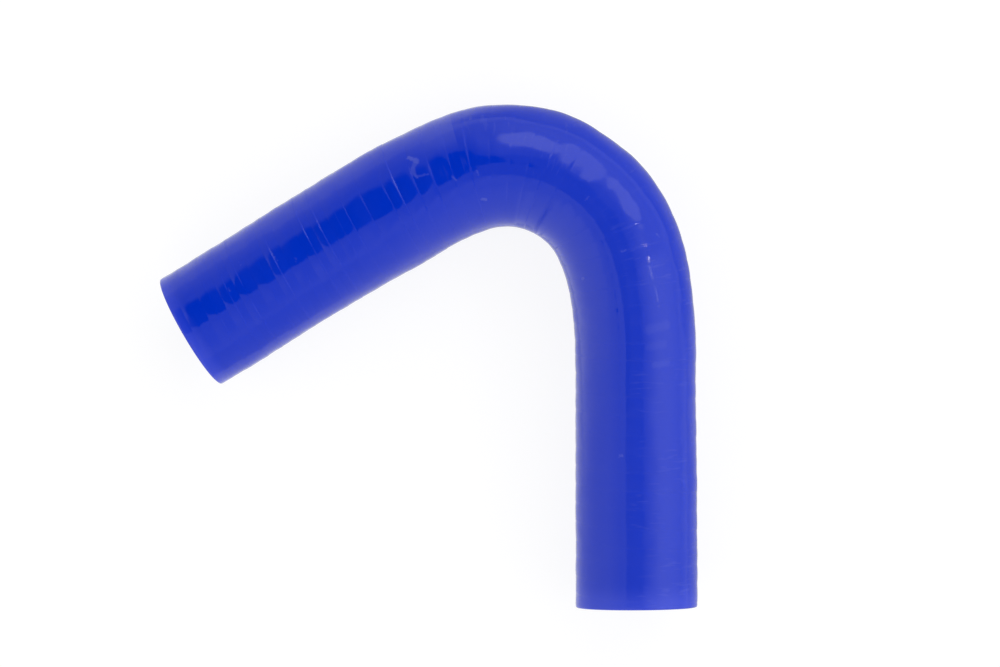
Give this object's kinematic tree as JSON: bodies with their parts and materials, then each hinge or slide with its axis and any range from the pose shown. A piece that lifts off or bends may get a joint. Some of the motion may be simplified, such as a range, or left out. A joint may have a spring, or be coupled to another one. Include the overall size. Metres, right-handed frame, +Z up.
{
  "type": "silicone elbow hose",
  "caption": "Reinforced blue silicone elbow hose with a tight bend of about 121 degrees between two straight legs and an open bore right through.",
  "frame": {"origin": "middle of the hose's box in plan, on the surface that it lies on", "axes": "the hose lies on its side: +Z up, square to the plane of the bend; the long leg's open end faces -Y and the short leg's open end faces -X, slanting to -Y"},
  "size_m": [0.152, 0.1416, 0.0342],
  "materials": {
    "silicone": "glossy blue silicone with the low overlapping steps that curing tape leaves"
  },
  "bodies": {
    "root": {"elbow_hose": "silicone"}
  },
  "joints": []
}
